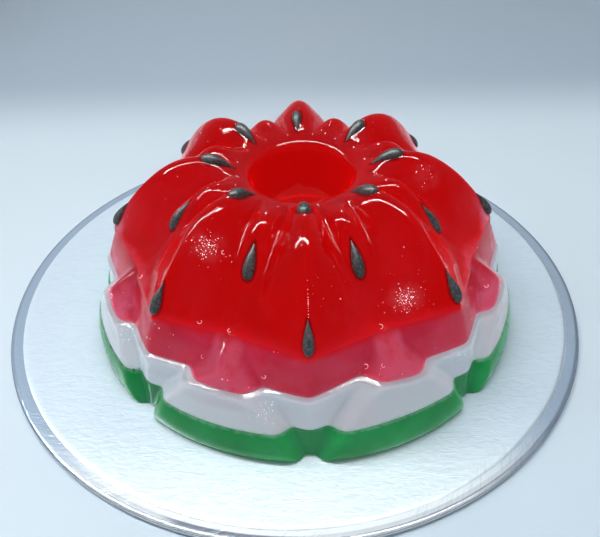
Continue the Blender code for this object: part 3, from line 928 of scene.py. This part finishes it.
foils = {  # tints are (r, g, b, greatest share); bright is a painted reflection at the front, and the darker tints are painted shade
    "rim": {"plain": (0.385, 0.50, 0.635), "bright": (0.85, 0.93, 0.97, 1.0),
            "crease": (0.40, 0.51, 0.62, 1.0), "dark": (0.10, 0.13, 0.19, 1.0)},
    "sheet": {"plain": (0.58, 0.70, 0.80), "bright": (0.71, 0.83, 0.88, 1.0),
              "crease": (0.54, 0.64, 0.74, 1.0), "hollowShade": (0.47, 0.59, 0.69, 0.38)},
}


def ringMesh(name, profile):
    # closed solid of revolution round the board's middle from (radius, height) corners
    steps = board["steps"]
    points, rings, faces = [], [], []
    for radius, height in profile:
        turns = range(steps if radius else 1)
        rings.append([len(points) + i for i in turns])
        for angle in (2 * pi * i / steps for i in turns):
            points.append((radius * mm * sin(angle), -radius * mm * cos(angle), height * mm))
    for ring, following in zip(rings, rings[1:]):
        for i in range(steps):
            j = (i + 1) % steps
            corners = (ring[i % len(ring)], ring[j % len(ring)],
                       following[j % len(following)], following[i % len(following)])
            faces.append(tuple(dict.fromkeys(corners)))
    return plainMesh(name, points, faces=faces)


def creases(desk, around, along, slant):
    # noise drawn out along lines that run outwards from the board's middle, leaning by slant
    x, y, _ = desk.split(desk.here())
    radius = desk.math("SQRT", x * x + y * y)
    angle = desk.math("ARCTAN2", x, 0.0 - y) + radius * slant
    vector = desk.vector(desk.math("SINE", angle) * around, desk.math("COSINE", angle) * around,
                         radius * along)
    return desk.noise(1.0, 3.0, place=vector), radius / mm, y


def foilSkin(desk, given):
    # crinkles of a foil skin: short ridges that run outwards near the rim
    folds, radius, _ = creases(desk, *board["folds"])
    z = desk.split(desk.here())[2]
    rise = (folds - 0.5) * desk.smooth(radius, *board["crinkled"])
    rise = rise * desk.smooth(z, *board["crinkleHeights"]) * given["Crinkle"]
    rise = desk.math("MINIMUM", rise, board["tallest"])
    return desk.lift(given["Geometry"], rise * mm)


def emboss(desk, scale, detail):
    # long low wavelets that run across the board
    place = desk.stretch(desk.here(), board["embossStretch"])
    return desk.noise(scale, detail, place=place, twist=1.0)


def sheetSkin(desk, given):
    # pale inner disc, lightly embossed all over and a little wavy
    top = board["sheetTop"]
    rise = (emboss(desk, 260.0, 2.0) - 0.5) * given["Emboss"]
    rise = rise + (desk.noise(30.0, 1.0) - 0.5) * given["Waves"]
    rise = rise * desk.smooth(desk.split(desk.here())[2], (top - 0.1) * mm, top * mm)
    return desk.lift(given["Geometry"], rise * mm)


def foilColour(desk, look):
    # a painted reflection makes it bright towards the front, and painted shade gives grey-blue
    # creases near the rim
    folds, radius, y = creases(desk, *board["fineFolds"])
    front = desk.smooth(y, *board["front"])
    # painted shade: grey-blue lines along the foil's creases, weaker at the front
    lines = desk.smooth(folds, 0.50, 0.60) * pattern(desk, board["patches"])
    lines = lines * desk.smooth(radius, *board["creased"]) * (0.6 - front * 0.35)
    colour = coats(desk, look, look["plain"], (front, "bright"), (lines, "crease"))
    return colour, folds, radius, front


def rimFinish():
    finish, desk, shader = newFinish("bright_foil", Roughness=0.24)
    colour, folds, radius, front = foilColour(desk, foils["rim"])
    x, _, z = desk.split(desk.here())

    def line(value, middle, outer, inner):
        return desk.smooth(desk.math("ABSOLUTE", value - middle), outer, inner)

    # painted shade: dark lines along the folds of the wrap and the outer bend, the board's side
    # darkened, and a dent's shadow along the front, darkest at the front left
    foldShade = line(z / mm, 2.25, 0.22, 0.10) + line(z / mm, 1.2, 0.3, 0.1)
    bendShade = line(radius, 148.1, 0.45, 0.15) * (front * 0.5 + 0.2)
    dentShadow = desk.band(radius, (145.6, 146.4), (148.4, 147.6)) * front
    dentShadow = dentShadow * (desk.band(x, (-0.058, -0.046), (0.004, -0.012)) * 0.6 + 0.3)
    colour = coats(
        desk, foils["rim"], colour,
        (foldShade * 0.5 + bendShade + desk.smooth(radius, 148.0, 148.6) * 0.35, "dark"), (dentShadow, "dark"))
    relief = folds * 0.25 + desk.noise(500.0, 3.0) * 0.1
    feed(desk, shader, Base_Color=colour, Normal=bumps(desk, relief, 1.0, 0.7),
         Metallic=0.35 - front * 0.25)
    return finish


def sheetFinish():
    finish, desk, shader = newFinish("painted_glint_foil", Roughness=0.36, Metallic=0.1)
    colour, *_ = foilColour(desk, foils["sheet"])
    wavelets = emboss(desk, 420.0, 4.0)
    # painted shade in the hollows of the emboss
    colour = coats(desk, foils["sheet"], colour, (desk.smooth(wavelets, 0.4, 0.75), "hollowShade"))
    feed(desk, shader, Base_Color=colour, Normal=bumps(desk, wavelets, 0.25, 0.58))
    return finish


for name, node, build, sizes, finish, profile in (
        ("foil_board", "board", foilSkin, {"Crinkle": 0.25}, rimFinish(), board["rim"]),
        ("foil_sheet", "board_sheet", sheetSkin, {"Emboss": 0.06, "Waves": 0.12}, sheetFinish(),
         board["sheet"])):
    hand(grow(name, build, sizes, finish, ringMesh(name, profile), 50), node, node)
print("board done")


ground = {  # the table under the board; sizes in metres
    "half": 2.4, "height": -0.0004,
    "plain": (0.54, 0.655, 0.735), "cloudy": (0.58, 0.69, 0.765, 1.0),
    # far and near: painted shade, the table darker towards the back and towards the front
    "far": (0.345, 0.425, 0.505, 1.0), "near": (0.485, 0.605, 0.700, 1.0),
    "farAt": (0.17, 0.28), "nearAt": (-0.02, -0.17),
}


def tableFinish():
    finish, desk, shader = newFinish("painted_glint_table", Roughness=0.55)
    y = desk.split(desk.here())[1]
    feed(desk, shader, Base_Color=coats(
        desk, ground, ground["plain"], (desk.noise(6.0), "cloudy"),
        (desk.smooth(y, *ground["farAt"]), "far"), (desk.smooth(y, *ground["nearAt"]), "near")))
    return finish


def makeTable():
    corners = [(x * ground["half"], y * ground["half"], ground["height"])
               for x, y in ((-1, -1), (1, -1), (1, 1), (-1, 1))]
    table = show("table", plainMesh("table", corners, faces=[(0, 1, 2, 3)]))
    table.data.materials.append(tableFinish())


lamps = {
    # name: azimuth, elevation, distance in metres, (width, height) in metres, watts, what it lights
    "tubes": (-97.0, 73.0, 1.1, (0.022, 1.95), 20.5, "gloss"),  # a pair, side by side
    "glare": (-97.0, 73.0, 1.1, (0.075, 1.95), 9.0, "gloss"),
    "window": (180.0, 37.0, 1.5, (0.08, 0.08), 1.8, "gloss"),
    "ceiling": (-97.0, 73.0, 1.1, (0.12, 1.95), 17.5, "body"),
    "back": (180.0, 37.0, 1.5, (0.3, 0.3), 1.6, "body"),
    "front": (10.0, 31.0, 1.5, (0.2, 0.2), 2.4, "body"),
    "sky": (0.0, 80.0, 1.5, (1.4, 1.4), 2.1, "body"),
    "fill": (0.0, 30.0, 1.6, (1.1, 1.1), 2.9, "body"),
}
tubeAside = 0.042  # metres from the middle of the pair


def makeLamps():
    for name, (azimuth, elevation, distance, size, watts, lit) in lamps.items():
        light = bpy.data.lights.new(name, "AREA")
        light.shape = "RECTANGLE"
        light.size, light.size_y = size
        light.energy = watts
        lamp = show(name, light)
        a, e = radians(azimuth), radians(elevation)
        lamp.location = Vector((sin(a) * cos(e), -cos(a) * cos(e), sin(e))) * distance
        lamp.rotation_euler = lamp.location.to_track_quat("Z", "Y").to_euler()
        lamp.visible_glossy = lit == "gloss"
        lamp.visible_diffuse = lit == "body"
        if name == "tubes":
            twin = lamp.copy()
            bpy.context.scene.collection.objects.link(twin)
            aside = lamp.rotation_euler.to_matrix().col[0] * tubeAside
            lamp.location += aside
            twin.location -= aside


room = {"dim": (0.06, 0.065, 0.07), "bright": (0.15, 0.165, 0.19, 1.0), "behind": (-0.3, 0.8)}


def makeRoom():
    # dim in front of the jelly, brighter behind it
    world = bpy.data.worlds.new("room")
    bpy.context.scene.world = world
    world.use_nodes = True
    desk = Desk(world.node_tree)
    direction = desk.split(desk.put("ShaderNodeTexCoord"))
    behind = desk.smooth(direction[1], *room["behind"])
    feed(desk, world.node_tree.nodes["Background"],
         Color=coats(desk, room, room["dim"], (behind, "bright")))


view = {  # camera fitted to the photographed board: place and distance in metres, tilt, lens
    "look": (0.00351, 0.019285, 0.0017), "distance": 0.4071, "elevation": 40.01,
    "roll": -0.023, "lens": 36 * 710.46 / 600,
}


def makeCamera():
    tilt = radians(view["elevation"])
    ahead = Vector((0, cos(tilt), -sin(tilt)))
    right = Vector((1, 0, 0))
    up = right.cross(ahead)
    c, s = cos(-view["roll"]), sin(-view["roll"])
    x, y = right * c - up * s, right * s + up * c
    data = bpy.data.cameras.new("camera")
    data.sensor_width = 36
    data.lens = view["lens"]
    data.clip_start = 0.01
    camera = show("camera", data)
    spot = Vector(view["look"]) - ahead * view["distance"]
    turn = Matrix((x, y, -ahead)).transposed().to_4x4()
    camera.matrix_world = Matrix.Translation(spot) @ turn
    bpy.context.scene.camera = camera


makeTable()
makeLamps()
makeRoom()
makeCamera()
bpy.context.scene.view_settings.view_transform = "Standard"
print("light and camera done")
